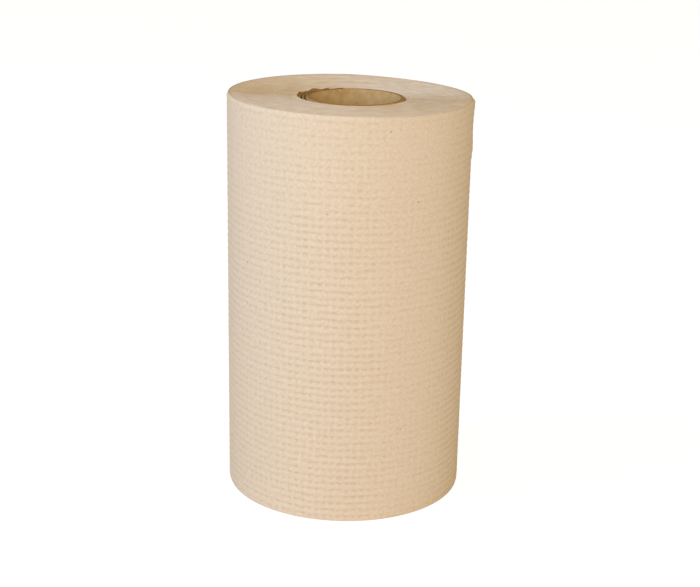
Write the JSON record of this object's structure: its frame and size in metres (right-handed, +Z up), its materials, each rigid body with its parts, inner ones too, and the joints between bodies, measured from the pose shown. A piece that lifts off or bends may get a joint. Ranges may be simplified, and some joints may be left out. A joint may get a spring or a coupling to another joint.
{
  "type": "paper towel roll",
  "caption": "Wound roll of embossed brown kraft paper towel on a board core, standing on its end, with an open bore for a holder's spindle.",
  "frame": {"origin": "centre of the core's bore, in the plane of the bottom end that the roll stands on", "axes": "+Z up along the core's axis, +X towards the tail of the web, -X towards its crumpled lead, -Y towards the viewer"},
  "size_m": [0.1213, 0.121, 0.2032],
  "materials": {
    "kraft_paper": "matt, embossed",
    "core_board": "matt"
  },
  "bodies": {
    "root": {"towel_web": "kraft_paper", "core_tube": "core_board"}
  },
  "joints": []
}
